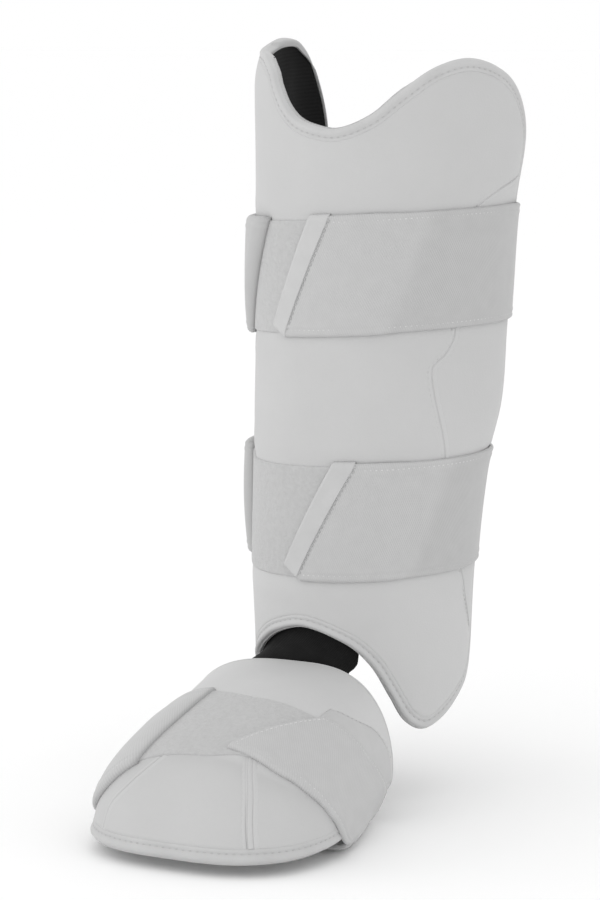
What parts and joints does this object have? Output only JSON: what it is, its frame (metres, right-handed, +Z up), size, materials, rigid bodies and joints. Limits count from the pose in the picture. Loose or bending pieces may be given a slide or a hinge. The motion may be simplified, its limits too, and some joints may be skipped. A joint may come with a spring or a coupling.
{
  "type": "leg guard",
  "caption": "Padded shin guard with a bound rim, black lining and wide elastic straps, with a domed foot guard hung below it on a knitted tongue.",
  "frame": {"origin": "on the axis of the leg at mid-shin, where the wearer's shin sits", "axes": "+Z up along the leg, -Y the way the shin and the toe face, +X to the right seen from the front"},
  "size_m": [0.1742, 0.3111, 0.4357],
  "materials": {
    "shell_leather": "smooth matt coated cloth over foam, pale grey",
    "binding_leather": "soft matt coated cloth, pale grey, stitched",
    "strap_elastic": "ribbed woven elastic, light grey",
    "loop_pile": "short brushed loop pile, light grey",
    "end_tape": "smooth flat tape, pale grey, bare",
    "black_lining": "brushed knit lining, black",
    "strap_backing": "plain woven web, grey",
    "thread": "sewing thread, pale grey",
    "black_knit": "ribbed elastic knit, black"
  },
  "bodies": {
    "root": {"shin_shell": "shell_leather", "shin_lining": "black_lining", "shin_binding": "binding_leather", "upper_strap": "strap_elastic", "upper_tape": "end_tape", "upper_landing": "loop_pile", "upper_web": "strap_backing", "lower_strap": "strap_elastic", "lower_tape": "end_tape", "lower_landing": "loop_pile", "lower_web": "strap_backing", "foot_shell": "shell_leather", "foot_binding": "binding_leather", "foot_tab": "end_tape", "foot_strap": "strap_elastic", "foot_landing": "loop_pile", "foot_web": "strap_backing", "ankle_tongue": "black_knit"}
  },
  "joints": []
}
